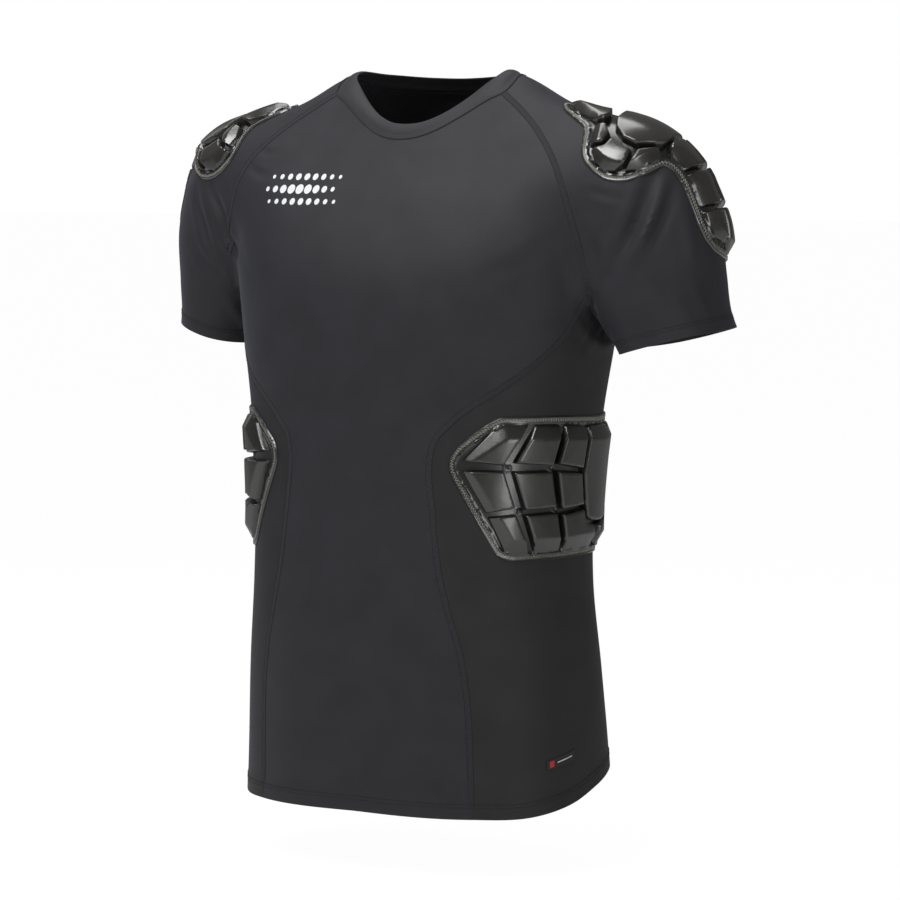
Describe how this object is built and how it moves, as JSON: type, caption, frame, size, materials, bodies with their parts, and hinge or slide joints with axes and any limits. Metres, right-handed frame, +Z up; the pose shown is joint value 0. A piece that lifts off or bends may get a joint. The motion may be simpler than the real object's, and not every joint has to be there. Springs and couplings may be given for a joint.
{
  "type": "padded compression shirt",
  "caption": "Short-sleeved stretch shirt, filled out as if worn, with moulded foam pads sewn over the shoulders and round the ribs.",
  "frame": {"origin": "midway between the wearer's shoulders, level with the seam at the side of the neck, where the wearer holds the shirt up", "axes": "+Z up along the body, -Y out of the front, +X towards the wearer's left"},
  "size_m": [0.5998, 0.2523, 0.6687],
  "materials": {
    "body_knit": "satin knit",
    "side_knit": "satin knit",
    "collar_knit": "matte knit",
    "rib_pad_skin": "glossy moulded skin",
    "shoulder_pad_skin": "glossy moulded skin"
  },
  "bodies": {
    "root": {"front_panel": "body_knit", "back_panel": "body_knit", "side_panel_left": "side_knit", "side_panel_right": "side_knit", "sleeve_left": "body_knit", "sleeve_right": "body_knit", "collar_band": "collar_knit", "rib_pad_left": "rib_pad_skin", "rib_pad_right": "rib_pad_skin", "shoulder_pad_left": "shoulder_pad_skin", "shoulder_pad_right": "shoulder_pad_skin"}
  },
  "joints": []
}
